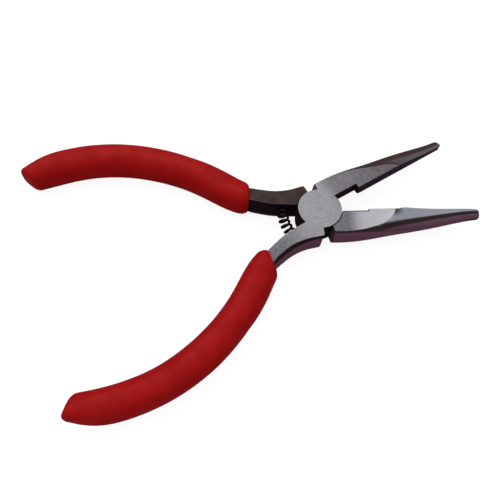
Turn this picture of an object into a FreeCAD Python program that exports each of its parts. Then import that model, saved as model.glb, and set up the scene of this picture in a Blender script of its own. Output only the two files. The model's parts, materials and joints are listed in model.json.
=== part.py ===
"""Mini long-nose pliers for jewellery work: two identical lap-jointed levers, a flush pivot rivet,
a coil return spring and two dipped vinyl grips. Units are millimetres.

Tool frame: the origin lies on the pivot axis, in the ground underside face of the joint. +Z points
up along the pivot and +X runs along the bisector of the open jaws, towards the nose tips.

Lever frame: both levers come from one forging. Its +X runs along the gripping face towards the tip,
its jaw lies at +Y, its handle at -X and -Y, and z = 0 is the lap plane between the two half joints.
Its own half joint fills the +Z side, called the face side here; the other one is the back side.
"""
import FreeCAD, Part
import math
import os

V = FreeCAD.Vector
X_AXIS = V(1, 0, 0)
Z_AXIS = V(0, 0, 1)
ORIGIN = V(0, 0, 0)
BIG = 200.0
TOUCH = 0.01

# Joint
OPENING = 29.4
JOINT_RADIUS = 6.0
JOINT_THICKNESS = 7.0
HALF_THICKNESS = JOINT_THICKNESS / 2
LAP_GAP = 0.04
SHOULDER_CLEARANCE = 0.3

# Pivot rivet
RIVET_RADIUS = 2.5
RIVET_HEAD_RADIUS = 3.2
RIVET_HEAD_DEPTH = 0.9
RIVET_CLEARANCE = 0.03

# Jaw
JAW_LENGTH = 46.0
JAW_GAP = 0.04
JAW_SHOULDER_START = (3.0, 5.4)
JAW_SHOULDER_ANGLE = 76.0
JAW_TIP_FILLET = 1.0
RELIEF_END = 13.5
DRAFT_START = -0.6
FACE_GRIND_END = 27.6
BACK_GRIND_END = 22.6
NICK_DEPTH = 0.35
NICK_LENGTH = 0.9

# The jaws are fitted by hand, so the two levers differ a little. "relief" is the wall between the
# joint and the gripping face, as (height, depth behind the gripping face); "step slant" is how far
# the step at its end runs forward per unit of height, going down; "draft" is how far the gripping
# face has drawn back where it meets the ground back side, as far along the jaw as "draft end".
TOP_LEVER_FIT = {
    "relief": ((HALF_THICKNESS, 1.35), (0.0, 1.35), (-HALF_THICKNESS, 2.55)),
    "step slant": 0.34,
    "draft": 1.3,
    "draft end": 2 * JAW_LENGTH,
}
BOTTOM_LEVER_FIT = {
    "relief": ((HALF_THICKNESS, 0.75), (-3.15, 0.75), (-HALF_THICKNESS, 1.4)),
    "step slant": 0.0,
    "draft": 0.45,
    "draft end": BACK_GRIND_END,
}

# Neck, between the joint and the grip
NECK_SHOULDER_ANGLE = -116.7
NECK_SHOULDER_RADIUS = 8.34
NECK_CORNER_RADIUS = 0.6
NECK_BACK_RECESS = 0.25
NECK_GRIND_END = -18.3
TANG_TAPER_END = -21.0

# Tang inside the grip
TANG_WIDTH = 4.0
TANG_HEIGHT = 5.4
TANG_END = 0.93
TANG_STATIONS = (0.15, 0.3, 0.45, 0.6, 0.75)

# Grip
GRIP_WIDTH = 8.0
GRIP_SWELL = 0.6
GRIP_HEIGHT = 9.8
GRIP_FULLNESS = 0.6
MOUTH_TOP_LEVER = -0.012
MOUTH_BOTTOM_LEVER = -0.03

# Return spring
SPRING_RADIUS = 1.25
SPRING_WIRE_RADIUS = 0.36
SPRING_PITCH = 1.5
SPRING_ORBIT = 9.75
SPRING_ENGAGEMENT = 1.3
SPRING_POINTS_PER_TURN = 12
SEAT_RADIUS = 1.8
SEAT_DEPTH = 2.0

# Stations along the jaw: distance from the pivot, depth behind the gripping face, half thickness on
# the face side, half thickness on the back side, and fullness (0.55 is an ellipse, 1 a rectangle)
JAW_STATIONS = (
    (1.5, 7.5, 5.0, 5.0, 0.9),
    (8.0, 7.7, 4.8, 5.0, 0.88),
    (14.0, 7.3, 4.5, 4.45, 0.8),
    (20.5, 6.5, 4.0, 3.78, 0.65),
    (27.6, 5.5, 3.5, 2.7, 0.6),
    (36.0, 4.0, 2.35, 2.1, 0.62),
    (JAW_LENGTH, 2.4, 1.45, 1.35, 0.6),
)

# Edges of the neck in plan, from the joint towards the grip; the outer wall has forging draft
NECK_INNER = ((-5.0, -1.5), (-9.5, -1.6), (-13.0, -1.9), (-16.3, -2.6), (-19.3, -3.4))
NECK_OUTER_FACE_SIDE = ((-5.7, -6.7), (-9.3, -5.7), (-12.5, -5.4), (-16.0, -5.8), (-19.3, -6.65))
NECK_OUTER_BACK_SIDE = ((-5.7, -6.85), (-9.2, -6.0), (-12.5, -5.9), (-16.0, -6.4), (-19.3, -7.15))

# Control points of the grip's centreline in plan, from its mouth to its end
GRIP_CENTRELINE = (
    (-19.8, -5.1), (-28.2, -6.8), (-33.0, -19.7), (-55.2, -18.5), (-59.3, -22.5), (-80.9, -12.6),
)

# Stations along the grip behind its mouth: position on the centreline (0 to 1) and scale
GRIP_STATIONS = (
    (0.1, 1.0), (0.25, 1.0), (0.4, 1.0), (0.55, 1.0), (0.7, 1.0), (0.85, 1.0), (0.93, 0.97), (0.975, 0.82),
    (1.0, 0.5),
)


def polygon_face(points):
    """Plane face through plan points at z = 0."""
    corners = [V(x, y, 0) for x, y in points]
    return Part.Face(Part.makePolygon(corners + corners[:1]))


def slab(low, high):
    """Box that covers the whole tool in plan, between two heights."""
    return Part.makeBox(2 * BIG, 2 * BIG, high - low, V(-BIG, -BIG, low))


def polar(radius, angle):
    """Plan point at a radius and an angle in degrees."""
    return V(radius * math.cos(math.radians(angle)), radius * math.sin(math.radians(angle)), 0)


def quarter_curve(start, end, fullness):
    """Bezier quarter round that leaves start along end's direction; both are vectors from a centre."""
    curve = Part.BezierCurve()
    curve.setPoles([start, start + end * fullness, end + start * fullness, end])
    return curve


def section_wire(centre, arms, fullness):
    """Closed section made of quarter rounds between neighbouring arms around a centre."""
    edges = []
    for arm, following in zip(arms, arms[1:] + arms[:1]):
        edge = quarter_curve(arm, following, fullness).toShape()
        edge.translate(centre)
        edges.append(edge)
    return Part.Wire(edges)


def jaw_section(x, depth, face_side, back_side, fullness):
    """Half-round section of the jaw with its flat side on the gripping face."""
    base = V(x, JAW_GAP / 2, 0)
    upper, outer, lower = V(0, 0, face_side), V(0, depth, 0), V(0, 0, -back_side)
    edges = [quarter_curve(upper, outer, fullness).toShape(), quarter_curve(outer, lower, fullness).toShape()]
    for edge in edges:
        edge.translate(base)
    edges.append(Part.makeLine(base + lower, base + upper))
    return Part.Wire(edges)


def relief_cutter(wall, step_slant):
    """Cutter for the relief between the joint and the gripping face, with a slanting step at its end."""
    above, below = JOINT_THICKNESS, -JOINT_THICKNESS
    start = V(0, -JOINT_RADIUS, 0)
    profile = [start + Z_AXIS * above, V(0, wall[0][1], above)]
    profile += [V(0, depth, height) for height, depth in wall]
    profile += [V(0, wall[-1][1], below), start + Z_AXIS * below]
    trough = Part.Face(Part.makePolygon(profile + profile[:1])).extrude(V(2 * RELIEF_END, 0, 0))
    step = [(0, below), (0, above)]
    step += [(RELIEF_END + step_slant * (HALF_THICKNESS - height), height) for height in (above, below)]
    return trough.common(side_view_prism(step))


def draft_cutter(draft, draft_end):
    """Cutter for the draft of the gripping face on the back side."""
    slope = draft / (DRAFT_START + HALF_THICKNESS)
    profile = [V(0, 0, DRAFT_START), V(0, -JOINT_RADIUS, DRAFT_START), V(0, -JOINT_RADIUS, -JOINT_THICKNESS),
               V(0, slope * (DRAFT_START + JOINT_THICKNESS), -JOINT_THICKNESS)]
    face = Part.Face(Part.makePolygon([p + V(RELIEF_END, 0, 0) for p in profile + profile[:1]]))
    return face.extrude(V(draft_end - RELIEF_END, 0, 0))


def nick_cutter(x, side):
    """Cutter for the small dent where a ground flat runs out at the gripping edge."""
    nick = Part.makeCylinder(NICK_LENGTH / 2, 3 * NICK_DEPTH, V(0, -NICK_DEPTH, 0), V(0, 1, 0))
    nick.translate(V(x + NICK_LENGTH / 2, 0, side * HALF_THICKNESS))
    return nick


def jaw(fit):
    """Jaw of one lever: half-round nose with ground sides, relief step and rounded tip."""
    body = Part.makeLoft([jaw_section(*station) for station in JAW_STATIONS], True, False)
    tip = [e for e in body.Edges if e.BoundBox.XMin > JAW_LENGTH - TOUCH]
    body = body.makeFillet(JAW_TIP_FILLET, tip)
    start = V(*JAW_SHOULDER_START, 0)
    slope = polar(BIG, JAW_SHOULDER_ANGLE)
    shoulder = [start, start + slope, start + slope + V(BIG, 0, 0), V(BIG, -BIG, 0), V(0, -BIG, 0), ORIGIN]
    keep = polygon_face([(p.x, p.y) for p in shoulder]).extrude(V(0, 0, 2 * JOINT_THICKNESS))
    keep.translate(V(0, 0, -JOINT_THICKNESS))
    body = body.common(keep).common(slab(-HALF_THICKNESS, HALF_THICKNESS))
    return body.cut([relief_cutter(fit["relief"], fit["step slant"]),
                     draft_cutter(fit["draft"], fit["draft end"]),
                     nick_cutter(FACE_GRIND_END, 1), nick_cutter(BACK_GRIND_END, -1)])


def centreline():
    """Centreline of the grip and tang in plan."""
    curve = Part.BezierCurve()
    curve.setPoles([V(x, y, 0) for x, y in GRIP_CENTRELINE])
    return curve


def centreline_frame(curve, t):
    """Point on the centreline at parameter t, with its direction and the direction of the inner side."""
    along = curve.tangent(t)[0]
    return curve.value(t), along, along.cross(Z_AXIS)


def smooth_edge(points):
    """Smooth plan curve through points."""
    curve = Part.BSplineCurve()
    curve.interpolate(points)
    return curve.toShape()


def handle_outline(neck_outer, height):
    """Outline of the neck and the covered tang at one height."""
    curve = centreline()
    level = V(0, 0, height)
    inner = [V(x, y, height) for x, y in NECK_INNER]
    outer = [V(x, y, height) for x, y in neck_outer]
    for t in TANG_STATIONS + (TANG_END,):
        point, _, inward = centreline_frame(curve, t)
        inner.append(point + inward * (TANG_WIDTH / 2) + level)
        outer.append(point - inward * (TANG_WIDTH / 2) + level)
    point, along, _ = centreline_frame(curve, TANG_END)
    end = Part.Arc(inner[-1], point + along * (TANG_WIDTH / 2) + level, outer[-1]).toShape()
    shoulder = polar(NECK_SHOULDER_RADIUS, NECK_SHOULDER_ANGLE)
    close = Part.makePolygon([outer[0], shoulder + level, level, inner[0]]).Edges
    return Part.Wire(Part.__sortEdges__([smooth_edge(inner), end, smooth_edge(outer)] + close))


def side_view_prism(points):
    """Prism across the whole tool from a side view, given as (x, z) points."""
    corners = [V(x, -BIG / 2, z) for x, z in points]
    return Part.Face(Part.makePolygon(corners + corners[:1])).extrude(V(0, BIG, 0))


def handle_side_view():
    """Side view of the handle: full thickness at the neck, slimmer along the tang."""
    face_side, back_side, half = HALF_THICKNESS, NECK_BACK_RECESS - HALF_THICKNESS, TANG_HEIGHT / 2
    return [(0, face_side), (NECK_GRIND_END, face_side), (TANG_TAPER_END, half), (-BIG, half),
            (-BIG, -half), (TANG_TAPER_END, -half), (NECK_GRIND_END, back_side), (0, back_side)]


def handle():
    """Neck and tang of one lever."""
    outlines = [handle_outline(NECK_OUTER_BACK_SIDE, -HALF_THICKNESS),
                handle_outline(NECK_OUTER_FACE_SIDE, HALF_THICKNESS)]
    body = Part.makeLoft(outlines, True, True)
    corner = [e for e in body.Edges if is_shoulder_corner(e)]
    return body.makeFillet(NECK_CORNER_RADIUS, corner).common(side_view_prism(handle_side_view()))


def is_shoulder_corner(edge):
    """True for the upright edge at the outer corner of the neck's shoulder."""
    corner = polar(NECK_SHOULDER_RADIUS, NECK_SHOULDER_ANGLE)
    return all(math.hypot(v.X - corner.x, v.Y - corner.y) < TOUCH for v in edge.Vertexes)


def seat_cutter():
    """Cutter for the blind hole in the neck's inner wall that holds one end of the spring."""
    wall = seat_angle()
    mouth = polar(SPRING_ORBIT, wall)
    into_wall = polar(SEAT_DEPTH, wall + 90)
    return Part.makeCylinder(SEAT_RADIUS, 2 * SEAT_DEPTH, mouth - into_wall, into_wall)


def seat_angle():
    """Angle from the gripping face's direction to the neck's inner wall, where the spring meets it."""
    return 180 + math.degrees(math.asin(-NECK_INNER[1][1] / SPRING_ORBIT))


def rivet_solid(clearance):
    """Flush rivet with a countersunk head at each face of the joint, grown by a clearance."""
    radius = RIVET_RADIUS + clearance
    head = RIVET_HEAD_RADIUS + clearance
    cone = Part.makeCone(head, radius, RIVET_HEAD_DEPTH, V(0, 0, -HALF_THICKNESS))
    other = Part.makeCone(radius, head, RIVET_HEAD_DEPTH, V(0, 0, HALF_THICKNESS - RIVET_HEAD_DEPTH))
    shaft = Part.makeCylinder(radius, JOINT_THICKNESS, V(0, 0, -HALF_THICKNESS))
    return shaft.fuse([cone, other]).removeSplitter()


def lever(rivet_clearance, fit):
    """One forged and ground lever in its own frame: half joint, jaw, neck and tang."""
    disc = Part.makeCylinder(JOINT_RADIUS, JOINT_THICKNESS, V(0, 0, -HALF_THICKNESS))
    body = disc.fuse([jaw(fit), handle()])
    lap_floor = V(0, 0, LAP_GAP / 2 - JOINT_THICKNESS)
    lap = Part.makeCylinder(JOINT_RADIUS + SHOULDER_CLEARANCE, JOINT_THICKNESS, lap_floor)
    return body.cut([lap, rivet_solid(rivet_clearance), seat_cutter()]).removeSplitter()


def grip_section(curve, t, scale):
    """Oval section of the grip across the centreline at parameter t."""
    point, _, inward = centreline_frame(curve, t)
    half_width = scale * (GRIP_WIDTH + GRIP_SWELL * (1 - (2 * t - 1) ** 2)) / 2
    half_height = scale * GRIP_HEIGHT / 2
    arms = [inward * half_width, Z_AXIS * half_height, inward * -half_width, Z_AXIS * -half_height]
    return section_wire(point, arms, GRIP_FULLNESS)


def grip(tang, mouth):
    """Dipped grip in the lever frame: an oval sleeve closed at its end, moulded around the tang."""
    curve = centreline()
    stations = ((mouth, 1.0),) + GRIP_STATIONS
    body = Part.makeLoft([grip_section(curve, t, scale) for t, scale in stations], True, False)
    return body.cut(tang)


def spring():
    """Return spring: a helix whose own axis is an arc around the pivot, at half the joint's thickness."""
    wall = seat_angle() + OPENING / 2
    seat_turn = math.degrees(SPRING_ENGAGEMENT / SPRING_ORBIT)
    first, last = 360 - wall - seat_turn, wall + seat_turn
    turns = math.radians(last - first) * SPRING_ORBIT / SPRING_PITCH
    steps = int(turns * SPRING_POINTS_PER_TURN)
    points = []
    for i in range(steps + 1):
        around = math.radians(first + (last - first) * i / steps)
        phase = 2 * math.pi * turns * i / steps
        reach = SPRING_ORBIT + SPRING_RADIUS * math.cos(phase)
        points.append(V(reach * math.cos(around), reach * math.sin(around),
                        HALF_THICKNESS + SPRING_RADIUS * math.sin(phase)))
    path = Part.BSplineCurve()
    path.interpolate(points)
    start = path.tangent(path.FirstParameter)[0]
    profile = Part.Wire(Part.makeCircle(SPRING_WIRE_RADIUS, points[0], start))
    return Part.Wire(path.toShape()).makePipeShell([profile], True, True)


def place_upper_half_lever(shape):
    """Move a shape from the lever frame to the lever whose half joint is on top."""
    placed = shape.copy()
    placed.rotate(ORIGIN, Z_AXIS, OPENING / 2)
    placed.translate(V(0, 0, HALF_THICKNESS))
    return placed


def place_lower_half_lever(shape):
    """Move a shape from the lever frame to the turned-over lever whose half joint is underneath."""
    placed = shape.copy()
    placed.rotate(ORIGIN, X_AXIS, 180)
    placed.rotate(ORIGIN, Z_AXIS, -OPENING / 2)
    placed.translate(V(0, 0, HALF_THICKNESS))
    return placed


def build():
    """All pieces of the tool, by node name."""
    tang = handle()
    rivet = rivet_solid(0)
    rivet.translate(V(0, 0, HALF_THICKNESS))
    return {
        "lever_top_half": place_upper_half_lever(lever(RIVET_CLEARANCE, TOP_LEVER_FIT)),
        "lever_bottom_half": place_lower_half_lever(lever(0, BOTTOM_LEVER_FIT)),
        "pivot_rivet": rivet,
        "return_spring": spring(),
        "grip_top_half": place_upper_half_lever(grip(tang, MOUTH_TOP_LEVER)),
        "grip_bottom_half": place_lower_half_lever(grip(tang, MOUTH_BOTTOM_LEVER)),
    }


def main():
    os.makedirs("parts", exist_ok=True)
    for node, shape in build().items():
        shape.exportStep(f"parts/{node}.step")


main()
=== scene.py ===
import bisect
import json
import math

import bpy
from mathutils import Matrix, Vector, noise


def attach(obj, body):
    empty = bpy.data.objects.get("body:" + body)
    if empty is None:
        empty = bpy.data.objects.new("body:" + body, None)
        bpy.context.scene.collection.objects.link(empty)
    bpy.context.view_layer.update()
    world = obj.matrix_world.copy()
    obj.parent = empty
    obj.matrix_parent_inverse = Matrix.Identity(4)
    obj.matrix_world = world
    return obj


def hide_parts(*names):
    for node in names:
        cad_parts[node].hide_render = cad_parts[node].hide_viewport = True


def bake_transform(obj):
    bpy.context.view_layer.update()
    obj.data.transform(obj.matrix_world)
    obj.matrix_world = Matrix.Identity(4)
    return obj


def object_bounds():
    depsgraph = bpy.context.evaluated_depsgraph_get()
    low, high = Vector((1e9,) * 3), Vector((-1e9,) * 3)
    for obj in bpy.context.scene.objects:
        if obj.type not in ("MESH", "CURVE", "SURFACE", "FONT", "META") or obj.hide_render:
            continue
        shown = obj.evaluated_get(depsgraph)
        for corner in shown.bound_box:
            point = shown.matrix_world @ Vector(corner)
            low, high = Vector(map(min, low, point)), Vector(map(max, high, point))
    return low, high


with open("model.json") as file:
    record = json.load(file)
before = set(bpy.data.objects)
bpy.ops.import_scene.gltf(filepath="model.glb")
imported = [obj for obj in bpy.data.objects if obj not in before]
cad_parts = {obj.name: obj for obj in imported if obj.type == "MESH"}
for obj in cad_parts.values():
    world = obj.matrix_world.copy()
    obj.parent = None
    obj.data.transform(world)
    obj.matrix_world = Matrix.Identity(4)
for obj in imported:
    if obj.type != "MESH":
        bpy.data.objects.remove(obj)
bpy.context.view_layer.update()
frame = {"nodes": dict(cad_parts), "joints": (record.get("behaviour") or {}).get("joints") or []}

MM = 0.001

# Joint, from the frame
JOINT = frame["joints"][0]
OPENING = -JOINT["range_deg"][0]
HALF_THICKNESS = JOINT["pos_m"][2] / MM

# Grips: centreline in the lever frame, from mouth to end, and the section across it. A mouth is its
# middle's distance along the centreline, and its slant.
GRIP_CENTRELINE = (
    (-19.8, -5.5), (-28.2, -6.8), (-33.0, -19.7),
    (-55.2, -18.5), (-59.3, -22.5), (-80.9, -12.6),
)
GRIP_HALF_WIDTH = 4.0
GRIP_SWELL = 0.3
GRIP_MOUTH_SWELL = 0.45
GRIP_MOUTH_SWELL_PLACE = 9.0
GRIP_HALF_HEIGHT = 4.9
GRIP_SQUARENESS = 2.3
MOUTH_OF_TOP_LEVER = (-0.2, 0.25)
MOUTH_OF_BOTTOM_LEVER = (-0.9, 0.0)
LIP_LENGTH = 2.0
LIP_TUCK = 2.0
TANG_HALF_WIDTH = 2.0
TANG_HALF_HEIGHT = 3.4
TANG_SQUARENESS = 6.0
GRIP_TAPER_START = 54.0
GRIP_OUTER_TAPER = 0.022
GRIP_HEIGHT_TAPER = 0.010

# Grips' end face: where its point is across the grip, its slant, its crown and the radius of its rim
GRIP_TIP_OFFSET = -1.5
GRIP_END_SLANT = 0.245
GRIP_END_CROWN = 0.03
GRIP_END_ROUND = 1.3

# Grips' unevenness: height, and length and share of its long and short waves
GRIP_WAVINESS = 0.05
LONG_WAVE = 7.0
SHORT_WAVE = 2.5
SHORT_WAVE_SHARE = 0.4

# Return spring
SPRING_RADIUS = 1.25
SPRING_WIRE_RADIUS = 0.36
SPRING_ORBIT = 9.75
SPRING_TURNS = 6.9
SPRING_SEAT = 1.3
NECK_INNER_WALL = 1.6

# Steel colours of each lever, mostly painted light and shade: its ground flat at the joint, along the
# jaw, at the jaw's end and the neck's end, a painted reflection that changes along the lever and differs
# between the levers; the rim and the run-out where the flat ends, a painted highlight on the bottom
# lever's rim, painted shade on the top lever's rim and painted shade in the run-out; the nose and the
# painted shade of its side; the painted shade of the shoulder beside the joint and of the gripping face.
# "band" and "side" are where the nose's side and its painted reflection from below start, as a share of
# the nose's depth and its loss per millimetre. "joint reach" and "flat end" are x.
TOP_LEVER_TONES = {
    "joint": "a6a5aa", "joint reach": 3.5, "jaw": "747178", "jaw end": "564b55", "neck end": "45434d",
    "rim": "54463f", "run-out shade": "746a70", "nose": "7e777e", "nose side shade": "5c4343", "shoulder": "77717a",
    "gripping": "423640", "band": (0.47, 0.006), "side": (1.2, 0.0), "flat end": 30.0,
}
BOTTOM_LEVER_TONES = {
    "joint": "605d64", "joint reach": 7.0, "jaw": "d4d3dc", "jaw end": "f4f4fb", "neck end": "504e59",
    "rim": "fcfcff", "run-out shade": "5e5c66", "nose": "bfc1ce", "nose side shade": "3a3032", "shoulder": "100b0c",
    "gripping": "54444e", "band": (0.66, 0.018), "side": (0.87, 0.014), "flat end": 20.9,
}
# Painted purple reflection from below: on the lower walls, and on the nose
PAINTED_FLOOR_REFLECTION = ("8e6b7d", "9f7d8f")
NOSE_PAINTED_FLOOR_REFLECTION = "805f70"
# Scale on the walls, its darkness partly painted shade; the next pair is the scale on level forged faces
DARK_SCALE_AND_SHADE = ("1c1517", "2c2325")
TOP_SCALE = ("413331", "534442")
FACET_STEEL = "8c7e88"
# Painted shade in the gap beside the joint, at the neck's shoulder
NECK_SHOULDER_SHADE = "181110"
# Bright edges: edge wear and a painted glint
EDGE_WEAR_AND_GLINT = "d0ccd0"
STAIN = "6a5a74"

# Steel, where its looks change in the lever frame: a pair is where a change starts and where it ends
RIVET_HEAD_RADIUS = 3.2
RIVET_MARGIN = (0.4, 0.8)
EDGE_RADIUS = 0.22
EDGE_AGREEMENT = (0.995, 0.86)
EDGE_WEAR_AND_GLINT_SHARE = 0.45
GROUND_LEVELNESS = (0.975, 0.99)
GROUND_DEPTH = (0.06, 0.02)
JOINT_FADE = 4.5
JAW_END_FADE = (10.0, 25.0)
NECK_END_FADE = (-3.0, -16.5)
NOSE_FADE = (15.0, 19.0)
NOSE_START = 20.0
NOSE_DEPTH = 6.5
NOSE_TAPER = 0.161
NOSE_BORDER_SOFTNESS = 0.05
FLAT_END_ARC = 0.165
FLAT_END_FADE = (-0.1, 0.2)
RUN_OUT_LENGTH = (3.2, 0.4)
RUN_OUT_WIDTH = (3.4, 1.4)
RIM_DEPTH = (0.2, 0.1)
RIM_FADE = (4.0, 9.0)
FACET_START = (-17.0, -17.6)
FACET_HEIGHT = (0.5, 1.0)
BESIDE_JOINT = ((-3.9, -3.5), (4.4, 3.8))
OUTSIDE_JOINT = (6.1, 6.4)
GRIPPING_FACE = ((13.3, 13.8), (1.2, 0.9))
INNER_NECK = ((-4.0, -6.0), (-5.0, -4.0))
INNER_JAW = ((4.0, 5.0), (3.0, 2.6))

# Steel, height above the table of the border between the painted reflection from below and the dark scale
# on the walls
JAW_BORDER = (6.4, 4.4)
JAW_BORDER_FADE = (10.0, 26.0)
NECK_BORDER = (5.2, 4.0)
NECK_BORDER_FADE = (-5.0, -14.0)
INNER_NECK_BORDER = 0.6
INNER_JAW_BORDER = -1.0
BORDER_SOFTNESS = 0.5

# Grain of the steel, per millimetre
CLOUD_SCALE = 0.35
SPECKLE_SCALE = 3.2
STREAK_SCALES = (0.5, 9.0, 1.0)
SPECKLE_SHARE = 0.75

# Floor, light and camera
FLOOR_SIZE = 4000.0
FLOOR_GAP = 0.02
FLOOR_GREY = 0.35
FLOOR_GLOW = 0.88
FLOOR_BOUNCE = "b08c9c"
HORIZON_LIGHT = (0.27, 0.25, 0.26, 1)
OVERHEAD_LIGHT = (0.54, 0.54, 0.55, 1)
KEY_DIRECTION = (-0.25, 0.6, 1.0)
KEY_DISTANCE = 450.0
KEY_SIZE = 350.0
KEY_RADIANCE = 1.3
CAMERA_PLACE = (-48.27, -62.82, 130.15)
CAMERA_TARGET = (-21.5, -5.2, 3.5)
CAMERA_UP_IN_PLAN = 72.13
CAMERA_LENS = 38.33
CAMERA_SENSOR = 36.0
CAMERA_NEAR_LIMIT = 5.0


def linear(hex_colour):
    """Linear RGBA for an sRGB colour written as six hex digits."""
    channels = [int(hex_colour[i:i + 2], 16) / 255 for i in (0, 2, 4)]
    return [c / 12.92 if c <= 0.04045 else ((c + 0.055) / 1.055) ** 2.4 for c in channels] + [1.0]


def lever_matrix(turned_over):
    """Lever frame in millimetres to tool frame in metres."""
    side = -1 if turned_over else 1
    flip = Matrix.Rotation(math.pi if turned_over else 0, 4, "X")
    swing = Matrix.Rotation(side * math.radians(OPENING / 2), 4, "Z")
    return Matrix.Scale(MM, 4) @ Matrix.Translation((0, 0, HALF_THICKNESS)) @ swing @ flip


# ---------------------------------------------------------------- mesh pieces

def mesh_piece(name, vertices, faces, material):
    """Smooth-shaded mesh object with one material."""
    mesh = bpy.data.meshes.new(name)
    mesh.from_pydata(vertices, [], faces)
    mesh.materials.append(material)
    mesh.polygons.foreach_set("use_smooth", [True] * len(mesh.polygons))
    piece = bpy.data.objects.new(name, mesh)
    bpy.context.scene.collection.objects.link(piece)
    return piece


def skin_rings(rings):
    """Quads between neighbouring rings of equal length, all rings in one list of vertices."""
    count = len(rings[0])
    faces = []
    for i in range(len(rings) - 1):
        for j in range(count):
            k = (j + 1) % count
            faces.append((i * count + j, i * count + k, (i + 1) * count + k, (i + 1) * count + j))
    return [point for ring in rings for point in ring], faces


def bezier(poles, t):
    """Point of a Bezier curve, by repeated interpolation."""
    points = [Vector(pole) for pole in poles]
    while len(points) > 1:
        points = [a.lerp(b, t) for a, b in zip(points, points[1:])]
    return points[0]


def measured_centreline(samples=400, early=-0.08):
    """Points along the grip's centreline with their distance from its first pole."""
    parameters = [early + (1 - early) * i / samples for i in range(samples + 1)]
    points = [bezier(GRIP_CENTRELINE, t) for t in parameters]
    distances = [0.0]
    for a, b in zip(points, points[1:]):
        distances.append(distances[-1] + (b - a).length)
    start = distances[bisect.bisect(parameters, 0)]
    return [d - start for d in distances], points


def along_centreline(measured, distance):
    """Point, direction and inward direction on the centreline; straight on beyond its ends."""
    distances, points = measured
    i = min(max(bisect.bisect(distances, distance), 1), len(points) - 1)
    direction = (points[i] - points[i - 1]).normalized()
    point = points[i - 1] + direction * (distance - distances[i - 1])
    return point, direction, Vector((direction.y, -direction.x))


def oval_point(angle, squareness):
    """Point on a unit superellipse: x across the grip towards the inside, y up."""
    x, y = math.cos(angle), math.sin(angle)
    size = (abs(x) ** squareness + abs(y) ** squareness) ** (-1 / squareness)
    return x * size, y * size


def grip_end(u, z):
    """Distance along the centreline of the end face at a place across the grip."""
    beyond_tip = u - GRIP_TIP_OFFSET
    slant = GRIP_END_SLANT * (beyond_tip + math.hypot(beyond_tip, 1.0))
    return GRIP_LENGTH - slant - GRIP_END_CROWN * z * z


def grip_outside(angle, s):
    """Place across the grip of its outer surface, at a distance along the centreline."""
    x, y = oval_point(angle, GRIP_SQUARENESS)
    swell = GRIP_SWELL * (1 - (2 * s / GRIP_LENGTH - 1) ** 2)
    taper = max(0.0, s - GRIP_TAPER_START) ** 2
    mouth_swell = GRIP_MOUTH_SWELL * max(0.0, 1 - (s / GRIP_MOUTH_SWELL_PLACE - 1) ** 2)
    width = GRIP_HALF_WIDTH + swell + (mouth_swell - GRIP_OUTER_TAPER * taper if x < 0 else 0)
    return x * width, y * (GRIP_HALF_HEIGHT - GRIP_HEIGHT_TAPER * taper)


def grip_inside(angle):
    """Place across the grip of its inner surface, against the neck."""
    x, y = oval_point(angle, TANG_SQUARENESS)
    return x * TANG_HALF_WIDTH, y * TANG_HALF_HEIGHT


def grip_line(angle, mouth, body_steps=44, lip_steps=6, end_steps=5, face_steps=5):
    """Points (u, z, s) from inside the mouth, over the lip and along the grip to its end's centre."""
    middle, slant = mouth
    lip = middle - slant * GRIP_HALF_WIDTH * math.cos(angle)
    inner = grip_inside(angle)
    line = [(*inner, lip + LIP_TUCK), (*inner, lip + LIP_TUCK / 2)]
    for i in range(lip_steps):
        turn = math.radians(90 * i / lip_steps)
        s = lip + LIP_LENGTH * (1 - math.cos(turn))
        outer = grip_outside(angle, s)
        u, z = (a + (b - a) * math.sin(turn) for a, b in zip(inner, outer))
        line.append((u, z, s))
    # The end's place depends on the width there, which depends on the end's place
    start, stop = lip + LIP_LENGTH, GRIP_LENGTH
    for _ in range(3):
        stop = grip_end(*grip_outside(angle, stop)) - GRIP_END_ROUND
    for i in range(body_steps):
        s = start + (stop - start) * i / body_steps
        line.append((*grip_outside(angle, s), s))
    rim_u, rim_z = grip_outside(angle, stop)
    reach = math.hypot(rim_u, rim_z)
    for i in range(end_steps):
        turn = math.radians(90 * i / end_steps)
        share = 1 - GRIP_END_ROUND * (1 - math.cos(turn)) / reach
        u, z = rim_u * share, rim_z * share
        line.append((u, z, grip_end(u, z) - GRIP_END_ROUND * (1 - math.sin(turn))))
    rest = 1 - GRIP_END_ROUND / reach
    for i in range(face_steps):
        share = rest * (1 - i / face_steps)
        u, z = rim_u * share, rim_z * share
        line.append((u, z, grip_end(u, z)))
    return line


def grip_cover(name, mouth, turned_over, material, around=48):
    """Dipped grip: a thick rounded lip, a slightly wavy oval body and a slanted, rounded end."""
    lines = [grip_line(2 * math.pi * j / around, mouth) for j in range(around)]
    measured = measured_centreline()
    place = lever_matrix(turned_over)

    def located(u, z, s):
        point, _, inward = along_centreline(measured, s)
        plan = point + inward * u
        return Vector((plan.x, plan.y, z))

    rings = [[located(*line[i]) for line in lines] for i in range(len(lines[0]))]
    vertices, faces = skin_rings(rings)
    tip = len(vertices)
    vertices.append(located(0, 0, grip_end(0, 0)))
    last = tip - around
    faces += [(last + j, last + (j + 1) % around, tip) for j in range(around)]
    if turned_over:
        faces = [tuple(reversed(face)) for face in faces]
    piece = mesh_piece(name, [place @ v for v in vertices], faces, material)
    wave_surface(piece.data, skipped=2 * around)
    smooth = piece.modifiers.new("smooth", "SUBSURF")
    smooth.levels = smooth.render_levels = 1
    return piece


def wave_surface(mesh, skipped):
    """Give a dipped surface the slight unevenness of vinyl that flowed before it set."""
    for vertex in list(mesh.vertices)[skipped:]:
        long_wave = noise.noise(vertex.co / MM / LONG_WAVE)
        short_wave = noise.noise(vertex.co / MM / SHORT_WAVE)
        wave = long_wave + SHORT_WAVE_SHARE * short_wave
        vertex.co += vertex.normal * wave * GRIP_WAVINESS * MM


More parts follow.
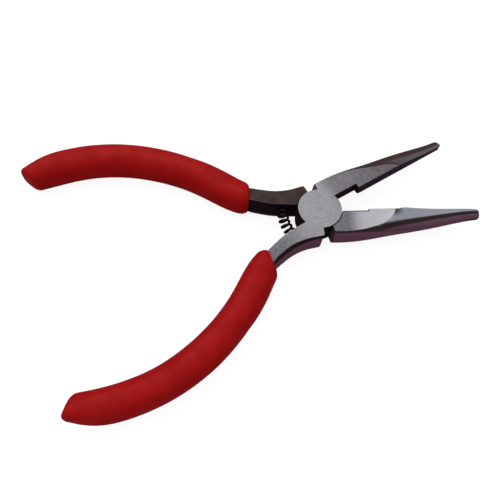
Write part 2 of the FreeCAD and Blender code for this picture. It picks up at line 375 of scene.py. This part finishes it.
def spring_coil(material, steps_per_turn=28, sides=12):
    """Return spring: wire wound around an arc about the pivot, its ends seated in the two necks."""
    wall = math.asin(NECK_INNER_WALL / SPRING_ORBIT)
    half_reach = math.radians(OPENING / 2) + wall + SPRING_SEAT / SPRING_ORBIT
    count = int(SPRING_TURNS * steps_per_turn)

    def wire(i):
        around = math.pi + half_reach * (2 * i / count - 1)
        phase = 2 * math.pi * SPRING_TURNS * i / count
        reach = SPRING_ORBIT + SPRING_RADIUS * math.cos(phase)
        height = HALF_THICKNESS + SPRING_RADIUS * math.sin(phase)
        return Vector((reach * math.cos(around), reach * math.sin(around), height))

    rings = []
    for i in range(count + 1):
        along = (wire(i + 1) - wire(i - 1)).normalized()
        side = along.cross(Vector((0, 0, 1))).normalized()
        other = along.cross(side)
        turns = [2 * math.pi * j / sides for j in range(sides)]
        spokes = [side * math.cos(a) + other * math.sin(a) for a in turns]
        rings.append([wire(i) + spoke * SPRING_WIRE_RADIUS for spoke in spokes])
    vertices, faces = skin_rings(rings)
    faces.append(tuple(reversed(range(sides))))
    faces.append(tuple(range(len(vertices) - sides, len(vertices))))
    piece = mesh_piece("return_spring_coil", [v * MM for v in vertices], faces, material)
    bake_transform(piece)
    return piece


# ---------------------------------------------------------------- materials

class Shader:
    """A material under construction: adds nodes and links or sets their inputs."""

    def __init__(self, name):
        self.material = bpy.data.materials.new(name)
        self.material.use_nodes = True
        self.tree = self.material.node_tree
        self.surface = self.tree.nodes["Principled BSDF"]

    def put(self, socket, value):
        """Link a socket to another node's output, or set its value."""
        if isinstance(value, bpy.types.NodeSocket):
            self.tree.links.new(value, socket)
        else:
            socket.default_value = value

    def add(self, kind, inputs=(), **settings):
        """New node with settings and inputs; inputs is a dict by name or index."""
        node = self.tree.nodes.new(kind)
        for key, value in settings.items():
            setattr(node, key, value)
        for key, value in dict(inputs).items():
            self.put(node.inputs[key], value)
        return node

    def math(self, operation, *values):
        """Result of a math node."""
        return self.add("ShaderNodeMath", enumerate(values), operation=operation).outputs[0]

    def ramp(self, value, low, high):
        """0 below low, 1 above high, smooth between; low may be above high."""
        node = self.add("ShaderNodeMapRange", {"Value": value, "From Min": low, "From Max": high},
                        interpolation_type="SMOOTHSTEP")
        return node.outputs["Result"]

    def blend(self, share, first, second):
        """Colour mixed from two colours."""
        node = self.add("ShaderNodeMix", data_type="RGBA")
        for index, value in ((0, share), (6, first), (7, second)):
            self.put(node.inputs[index], value)
        return node.outputs[2]

    def between(self, share, first, second):
        """Number mixed from two numbers."""
        node = self.add("ShaderNodeMix", {0: share, 2: first, 3: second}, data_type="FLOAT")
        return node.outputs[0]

    def noise(self, vector, scale, detail=2.0, roughness=0.5):
        """Noise value around 0.5."""
        inputs = {"Vector": vector, "Scale": scale, "Detail": detail, "Roughness": roughness}
        return self.add("ShaderNodeTexNoise", inputs).outputs[0]

    def split(self, vector):
        """x, y and z of a vector."""
        return self.add("ShaderNodeSeparateXYZ", {0: vector}).outputs

    def position(self, turned_over=None):
        """Place on the piece in millimetres, in the tool frame or in a lever's frame."""
        source = self.add("ShaderNodeTexCoord").outputs["Object"]
        mapping = self.add("ShaderNodeMapping", {"Vector": source, "Scale": (1 / MM,) * 3})
        if turned_over is not None:
            flip, lift = (math.pi, HALF_THICKNESS) if turned_over else (0, -HALF_THICKNESS)
            mapping.inputs["Rotation"].default_value = (flip, 0, -math.radians(OPENING / 2))
            mapping.inputs["Location"].default_value = (0, 0, lift)
        return mapping.outputs["Vector"]

    def upward(self):
        """How far the true face looks up or down: 1 for level faces, 0 for upright walls."""
        normal = self.add("ShaderNodeNewGeometry").outputs["True Normal"]
        return self.math("ABSOLUTE", self.split(normal)[2])

    def product(self, *values):
        """Product of numbers or sockets."""
        result = values[0]
        for value in values[1:]:
            result = self.math("MULTIPLY", result, value)
        return result

    def edges(self, radius):
        """Share of edge at a point, where edge wear and a painted glint go, and the normal of the edge
        rounded over a radius.
        """
        rounded = self.add("ShaderNodeBevel", {"Radius": radius}, samples=6).outputs["Normal"]
        sharp = self.add("ShaderNodeNewGeometry").outputs["True Normal"]
        agree = self.add("ShaderNodeVectorMath", {0: rounded, 1: sharp}, operation="DOT_PRODUCT")
        return self.ramp(agree.outputs["Value"], *EDGE_AGREEMENT), rounded

    def bump(self, height, distance, strength=1.0, normal=None):
        """Normal with fine relief; distance is millimetres."""
        inputs = {"Height": height, "Distance": distance * MM, "Strength": strength}
        if normal is not None:
            inputs["Normal"] = normal
        return self.add("ShaderNodeBump", inputs).outputs["Normal"]

    def finish(self, **inputs):
        """Set the surface's inputs by name, with _ for a space, and return the material."""
        for key, value in inputs.items():
            self.put(self.surface.inputs[key.replace("_", " ")], value)
        return self.material


def lever_steel(name, turned_over, tones):
    """Forged steel: grain on its ground flats, dark scale on its walls, a nose with a lighter band, and
    painted reflections, highlights and shade on flats, walls and nose.
    """
    shader = Shader(name)
    place = shader.position(turned_over)
    x, y, z = shader.split(place)
    upward = shader.upward()
    plan = shader.add("ShaderNodeVectorMath", {0: place, 1: (1, 1, 0)}, operation="MULTIPLY").outputs[0]
    from_axis = shader.add("ShaderNodeVectorMath", {0: plan}, operation="LENGTH").outputs["Value"]
    clear_of_rivet = shader.ramp(from_axis, *(RIVET_HEAD_RADIUS + margin for margin in RIVET_MARGIN))
    # No rounding at the rivet's rim, which lies flush in the joint
    edge_wear_and_glint, rounded = shader.edges(shader.product(clear_of_rivet, EDGE_RADIUS * MM))

    below_face = shader.math("SUBTRACT", HALF_THICKNESS, shader.math("ABSOLUTE", z))
    ground = shader.product(shader.ramp(upward, *GROUND_LEVELNESS), shader.ramp(below_face, *GROUND_DEPTH))
    cloud = shader.noise(place, CLOUD_SCALE, 3.0)
    speckle = shader.noise(place, SPECKLE_SCALE, 3.0, 0.65)
    stretched = shader.add("ShaderNodeMapping", {"Vector": place, "Scale": STREAK_SCALES}).outputs[0]
    streaks = shader.noise(stretched, 1.0, 3.0, 0.6)
    grain = shader.math("ADD", shader.product(speckle, SPECKLE_SHARE),
                        shader.product(streaks, 1 - SPECKLE_SHARE))

    wall = lever_wall(shader, x, y, z, from_axis, turned_over, cloud, tones)
    scale = shader.blend(shader.ramp(cloud, 0.3, 0.7), linear(TOP_SCALE[0]), linear(TOP_SCALE[1]))
    # Walls darker than the scale on level faces: dark scale and painted shade
    forged = shader.blend(shader.ramp(upward, 0.25, 0.55), wall, scale)
    arc = shader.math("ADD", x, shader.product(y, y, FLAT_END_ARC))
    past_flat = shader.math("SUBTRACT", arc, tones["flat end"])
    nose = nose_steel(shader, x, y, past_flat, upward, wall, tones)
    forged = shader.blend(shader.ramp(x, *NOSE_FADE), forged, nose)
    beyond_end = shader.ramp(past_flat, *FLAT_END_FADE)
    flat = shader.blend(beyond_end, ground_flat(shader, x, cloud, grain, tones), nose)
    facet = shader.product(shader.ramp(x, *FACET_START), shader.ramp(z, *FACET_HEIGHT),
                           shader.ramp(upward, 0.85, 0.93))
    forged = shader.blend(facet, forged, linear(FACET_STEEL))
    # Rim just under the face along the jaw: a painted highlight on the bottom lever, painted shade on the
    # top lever
    rim = shader.product(shader.ramp(below_face, *RIM_DEPTH), shader.ramp(upward, 0.8, 0.92),
                         shader.ramp(x, *RIM_FADE), shader.math("SUBTRACT", 1.0, beyond_end))
    forged = shader.blend(rim, forged, linear(tones["rim"]))
    colour = shader.blend(ground, forged, flat)
    # Bright edges: edge wear and a painted glint
    colour = shader.blend(shader.product(edge_wear_and_glint, EDGE_WEAR_AND_GLINT_SHARE), colour, linear(EDGE_WEAR_AND_GLINT))

    roughness = shader.math("ADD", shader.between(ground, 0.5, 0.42), shader.product(speckle, 0.12))
    normal = shader.bump(shader.between(ground, speckle, grain), 0.05, 0.35, rounded)
    return shader.finish(Base_Color=colour, Metallic=shader.between(ground, 0.75, 1.0),
                         Roughness=roughness, Normal=normal)


def ground_flat(shader, x, cloud, grain, tones):
    """Colour of the ground flats: a painted reflection that changes from the joint along the jaw and the
    neck, with bright grain and faint stains.
    """
    reach = tones["joint reach"]
    # Painted reflection: the flat's tone changes from the joint to the jaw's end and the neck's end
    at_jaw = shader.ramp(x, reach, reach + JOINT_FADE)
    flat = shader.blend(at_jaw, linear(tones["joint"]), linear(tones["jaw"]))
    flat = shader.blend(shader.ramp(x, *JAW_END_FADE), flat, linear(tones["jaw end"]))
    flat = shader.blend(shader.ramp(x, *NECK_END_FADE), flat, linear(tones["neck end"]))
    flat = shader.blend(shader.ramp(grain, 0.3, 0.7), flat, shader.blend(0.35, flat, linear("ffffff")))
    return shader.blend(shader.ramp(cloud, 0.35, 0.75), flat, shader.blend(0.12, flat, linear(STAIN)))


def nose_steel(shader, x, y, past_flat, upward, wall, tones):
    """Colour of the nose: a lighter band along the gripping face, its side in painted shade, then a
    painted purple reflection from below.
    """
    beyond = shader.math("SUBTRACT", x, NOSE_START)
    depth = shader.math("SUBTRACT", NOSE_DEPTH, shader.product(beyond, NOSE_TAPER))
    across = shader.math("DIVIDE", y, depth)
    past = []
    for start, slope in (tones["band"], tones["side"]):
        border = shader.math("SUBTRACT", start, shader.product(beyond, slope))
        past_border = shader.math("SUBTRACT", across, border)
        past.append(shader.ramp(past_border, -NOSE_BORDER_SOFTNESS, NOSE_BORDER_SOFTNESS))
    # Lighter band, then the side's painted shade, then the painted reflection from below
    top = shader.blend(past[0], linear(tones["nose"]), linear(tones["nose side shade"]))
    top = shader.blend(past[1], top, linear(NOSE_PAINTED_FLOOR_REFLECTION))
    nose = shader.blend(shader.ramp(upward, 0.25, 0.45), wall, top)
    # Painted shade in the run-out where the flat ends, near the gripping face
    run_out_shade = shader.product(shader.ramp(past_flat, *RUN_OUT_LENGTH), shader.ramp(y, *RUN_OUT_WIDTH),
                             shader.ramp(upward, 0.5, 0.7))
    return shader.blend(run_out_shade, nose, linear(tones["run-out shade"]))


def lever_wall(shader, x, y, z, from_axis, turned_over, cloud, tones):
    """Colour of the upright walls: dark scale with painted shade above, a painted purple reflection from
    below lower down, the gripping face and the shoulder beside the joint in painted shade.
    """
    above_table = shader.math("ADD", shader.product(z, -1 if turned_over else 1), HALF_THICKNESS)
    border = shader.between(shader.ramp(x, *JAW_BORDER_FADE), *JAW_BORDER)
    neck_border = shader.between(shader.ramp(x, *NECK_BORDER_FADE), *NECK_BORDER)
    border = shader.between(shader.ramp(x, 0.0, -1.0), border, neck_border)
    inner_neck = shader.product(shader.ramp(x, *INNER_NECK[0]), shader.ramp(y, *INNER_NECK[1]))
    border = shader.between(inner_neck, border, INNER_NECK_BORDER)
    inner_jaw = shader.product(shader.ramp(x, *INNER_JAW[0]), shader.ramp(y, *INNER_JAW[1]))
    border = shader.between(inner_jaw, border, INNER_JAW_BORDER)
    above_border = shader.math("SUBTRACT", above_table, border)
    # Below the border, a painted purple reflection from below; above it, dark scale with painted shade
    floor_reflection_share = shader.ramp(above_border, BORDER_SOFTNESS, -BORDER_SOFTNESS)
    dark = shader.blend(cloud, linear(DARK_SCALE_AND_SHADE[0]), linear(DARK_SCALE_AND_SHADE[1]))
    # Gripping face in painted shade
    gripping = shader.product(shader.ramp(x, *GRIPPING_FACE[0]), shader.ramp(y, *GRIPPING_FACE[1]))
    dark = shader.blend(gripping, dark, linear(tones["gripping"]))
    floor_reflection = shader.blend(cloud, linear(PAINTED_FLOOR_REFLECTION[0]), linear(PAINTED_FLOOR_REFLECTION[1]))
    wall = shader.blend(floor_reflection_share, dark, floor_reflection)
    # Beside the joint, the shoulders in painted shade; on the turned-over lever, the painted reflection
    # from below outside the joint
    beside_joint = shader.product(shader.ramp(x, *BESIDE_JOINT[0]), shader.ramp(x, *BESIDE_JOINT[1]))
    shoulder = shader.blend(shader.ramp(y, 1.0, -1.0), linear(tones["shoulder"]), linear(NECK_SHOULDER_SHADE))
    if turned_over:
        shoulder_reflection_share = shader.product(floor_reflection_share, shader.ramp(from_axis, *OUTSIDE_JOINT))
        shoulder = shader.blend(shoulder_reflection_share, shoulder, floor_reflection)
    return shader.blend(beside_joint, wall, shoulder)


def rivet_steel():
    """Rivet ground flush with the joint and hardly visible in it, with a faint smudge at its centre."""
    shader = Shader("rivet_ground_steel")
    place = shader.position()
    speckle = shader.noise(place, SPECKLE_SCALE, 3.0, 0.65)
    x, y, _ = shader.split(place)
    radius = shader.math("SQRT", shader.math("ADD", shader.product(x, x), shader.product(y, y)))
    colour = shader.blend(shader.ramp(speckle, 0.3, 0.7), linear("b1b1b6"), linear("bdbdc2"))
    colour = shader.blend(shader.ramp(radius, 0.9, 0.1), colour, linear("a9a6ad"))
    normal = shader.bump(speckle, 0.05, 0.35)
    return shader.finish(Base_Color=colour, Metallic=1.0, Roughness=0.47, Normal=normal)


def spring_wire():
    """Dark drawn wire with a thin oily sheen."""
    shader = Shader("dark_spring_wire")
    place = shader.position()
    mottle = shader.noise(place, 2.5, 3.0)
    colour = shader.blend(shader.ramp(mottle, 0.35, 0.7), linear("2c2129"), linear("43343e"))
    normal = shader.bump(mottle, 0.02, 0.3)
    return shader.finish(Base_Color=colour, Metallic=0.95, Roughness=0.3, Normal=normal)


def red_vinyl():
    """Dipped satin vinyl: soft mottling, fine orange peel and a slightly duller handled surface."""
    shader = Shader("red_dipped_vinyl")
    place = shader.position()
    cloud = shader.noise(place, 0.22, 3.0)
    mottle = shader.noise(place, 1.4, 4.0, 0.6)
    peel = shader.noise(place, 2.2, 2.0)
    pores = shader.noise(place, 9.0, 2.0)
    colour = shader.blend(shader.ramp(cloud, 0.3, 0.7), linear("c80e0a"), linear("ba0808"))
    darker = shader.blend(0.22, colour, linear("920507"))
    colour = shader.blend(shader.ramp(mottle, 0.4, 0.75), colour, darker)
    roughness = shader.between(shader.ramp(cloud, 0.35, 0.7), 0.5, 0.58)
    normal = shader.bump(peel, 0.05, 0.25)
    normal = shader.bump(pores, 0.02, 0.3, normal)
    return shader.finish(Base_Color=colour, Roughness=roughness, Normal=normal,
                         Specular_IOR_Level=0.16)


def paint(node, material):
    """Give a CAD node its material."""
    node.data.materials.clear()
    node.data.materials.append(material)


# ---------------------------------------------------------------- stage, light and camera

def pale_floor(height):
    """Plain pale floor: white to the camera, a softer tinted bounce for the tool, clear from below."""
    shader = Shader("pale_floor")
    tree = shader.tree
    white = shader.add("ShaderNodeBsdfDiffuse", {"Color": (FLOOR_GREY,) * 3 + (1,)}).outputs[0]
    glow = shader.add("ShaderNodeEmission", {"Color": (1, 1, 1, 1), "Strength": FLOOR_GLOW}).outputs[0]
    seen = shader.add("ShaderNodeAddShader", {0: white, 1: glow}).outputs[0]
    bounce = shader.add("ShaderNodeBsdfDiffuse", {"Color": linear(FLOOR_BOUNCE)}).outputs[0]
    camera_ray = shader.add("ShaderNodeLightPath").outputs["Is Camera Ray"]
    front = shader.add("ShaderNodeMixShader", {0: camera_ray, 1: bounce, 2: seen}).outputs[0]
    clear = shader.add("ShaderNodeBsdfTransparent").outputs[0]
    behind = shader.add("ShaderNodeNewGeometry").outputs["Backfacing"]
    both = shader.add("ShaderNodeMixShader", {0: behind, 1: front, 2: clear}).outputs[0]
    tree.links.new(both, tree.nodes["Material Output"].inputs["Surface"])
    half = FLOOR_SIZE / 2 * MM
    corners = [(-half, -half, height), (half, -half, height), (half, half, height), (-half, half, height)]
    mesh = bpy.data.meshes.new("floor")
    mesh.from_pydata(corners, [], [(0, 1, 2, 3)])
    mesh.materials.append(shader.material)
    floor = bpy.data.objects.new("floor", mesh)
    bpy.context.scene.collection.objects.link(floor)


def soft_world():
    """Soft sky, brighter overhead than at the horizon, and white behind everything the camera sees."""
    world = bpy.data.worlds.new("soft_studio")
    bpy.context.scene.world = world
    world.use_nodes = True
    tree = world.node_tree
    background = tree.nodes["Background"]
    direction = tree.nodes.new("ShaderNodeTexCoord")
    split = tree.nodes.new("ShaderNodeSeparateXYZ")
    ramp = tree.nodes.new("ShaderNodeValToRGB")
    lights = tree.nodes.new("ShaderNodeLightPath")
    mix = tree.nodes.new("ShaderNodeMix")
    mix.data_type = "RGBA"
    ramp.color_ramp.elements[0].position = 0.0
    ramp.color_ramp.elements[0].color = HORIZON_LIGHT
    ramp.color_ramp.elements[1].position = 1.0
    ramp.color_ramp.elements[1].color = OVERHEAD_LIGHT
    mix.inputs[7].default_value = (1, 1, 1, 1)
    tree.links.new(direction.outputs["Generated"], split.inputs[0])
    tree.links.new(split.outputs["Z"], ramp.inputs[0])
    tree.links.new(lights.outputs["Is Camera Ray"], mix.inputs[0])
    tree.links.new(ramp.outputs[0], mix.inputs[6])
    tree.links.new(mix.outputs[2], background.inputs["Color"])


def soft_box(name, direction, distance, size, radiance):
    """Square area light that faces the joint; radiance is the brightness of its surface."""
    light = bpy.data.lights.new(name, "AREA")
    light.size = size
    light.energy = radiance * math.pi * size * size
    lamp = bpy.data.objects.new(name, light)
    lamp.location = Vector(direction).normalized() * distance
    lamp.rotation_mode = "QUATERNION"
    lamp.rotation_quaternion = Vector(direction).to_track_quat("Z", "Y")
    bpy.context.scene.collection.objects.link(lamp)


def add_camera():
    """Camera above the near grip, rolled so that the tool lies level."""
    place, target = Vector(CAMERA_PLACE) * MM, Vector(CAMERA_TARGET) * MM
    forward = (target - place).normalized()
    turn = math.radians(CAMERA_UP_IN_PLAN)
    right = forward.cross(Vector((math.cos(turn), math.sin(turn), 0))).normalized()
    up = right.cross(forward)
    data = bpy.data.cameras.new("camera")
    data.lens = CAMERA_LENS
    data.sensor_width = CAMERA_SENSOR
    data.clip_start = CAMERA_NEAR_LIMIT * MM
    camera = bpy.data.objects.new("camera", data)
    camera.matrix_world = Matrix.Translation(place) @ Matrix((right, up, -forward)).transposed().to_4x4()
    bpy.context.scene.collection.objects.link(camera)
    bpy.context.scene.camera = camera


# ---------------------------------------------------------------- the tool

GRIP_LENGTH = measured_centreline()[0][-1] + 0.3

nodes = frame["nodes"]
paint(nodes["lever_top_half"], lever_steel("top_lever_steel", False, TOP_LEVER_TONES))
paint(nodes["lever_bottom_half"], lever_steel("bottom_lever_steel", True, BOTTOM_LEVER_TONES))
paint(nodes["pivot_rivet"], rivet_steel())

vinyl = red_vinyl()
lower_grip = grip_cover("grip_cover_top_lever", MOUTH_OF_TOP_LEVER, False, vinyl)
upper_grip = grip_cover("grip_cover_bottom_lever", MOUTH_OF_BOTTOM_LEVER, True, vinyl)
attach(lower_grip, "top_lever")
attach(upper_grip, "bottom_lever")
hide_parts("grip_top_half")
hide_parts("grip_bottom_half")

coil = spring_coil(spring_wire())
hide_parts("return_spring")

visual_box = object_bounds()
pale_floor(visual_box[0].z - FLOOR_GAP * MM)
soft_world()
soft_box("key", KEY_DIRECTION, KEY_DISTANCE * MM, KEY_SIZE * MM, KEY_RADIANCE)
add_camera()
bpy.context.scene.view_settings.view_transform = "Standard"
